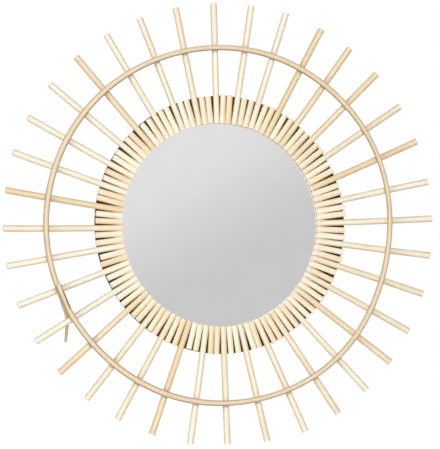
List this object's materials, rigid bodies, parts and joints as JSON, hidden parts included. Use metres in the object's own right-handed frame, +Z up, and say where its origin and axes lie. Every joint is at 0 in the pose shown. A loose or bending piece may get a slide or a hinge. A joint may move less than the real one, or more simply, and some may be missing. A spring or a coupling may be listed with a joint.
{
  "type": "wall mirror",
  "caption": "Round wall mirror in a sunburst frame of cane sticks, with a tight collar of short sticks round the glass and a bent cane hoop tying the long rays.",
  "frame": {"origin": "centre of the backing disc's flat back face, which lies against the wall", "axes": "+Y into the wall, -Y out of the glass towards the viewer, +Z up, +X to the viewer's right"},
  "size_m": [0.5982, 0.0315, 0.5953],
  "materials": {
    "painted_board": "matt dark brown paint on fibreboard",
    "silvered_glass": "polished float glass, silvered at the back",
    "plated_steel": "zinc-plated pressed sheet",
    "ray_cane": "peeled pale cane, clear matt lacquer",
    "hoop_cane": "peeled cane, bent, a little darker than the rays"
  },
  "bodies": {
    "root": {"backing_disc": "painted_board", "mirror_glass": "silvered_glass", "hanger": "plated_steel", "hoop": "hoop_cane", "ray_trio_01": "ray_cane", "ray_trio_02": "ray_cane", "ray_trio_03": "ray_cane", "ray_trio_04": "ray_cane", "ray_trio_05": "ray_cane", "ray_trio_06": "ray_cane", "ray_trio_07": "ray_cane", "ray_trio_08": "ray_cane", "ray_trio_09": "ray_cane", "ray_trio_10": "ray_cane", "ray_trio_11": "ray_cane", "ray_trio_12": "ray_cane", "ray_trio_13": "ray_cane", "ray_trio_14": "ray_cane", "ray_trio_15": "ray_cane", "ray_trio_16": "ray_cane", "ray_trio_17": "ray_cane", "ray_trio_18": "ray_cane", "ray_trio_19": "ray_cane", "ray_trio_20": "ray_cane", "ray_trio_21": "ray_cane", "ray_trio_22": "ray_cane", "ray_trio_23": "ray_cane", "ray_trio_24": "ray_cane", "ray_trio_25": "ray_cane", "ray_trio_26": "ray_cane", "ray_trio_27": "ray_cane", "ray_trio_28": "ray_cane", "ray_trio_29": "ray_cane", "ray_trio_30": "ray_cane", "ray_trio_31": "ray_cane", "ray_trio_32": "ray_cane", "ray_trio_33": "ray_cane", "ray_trio_34": "ray_cane", "ray_trio_35": "ray_cane", "ray_trio_36": "ray_cane"}
  },
  "joints": []
}
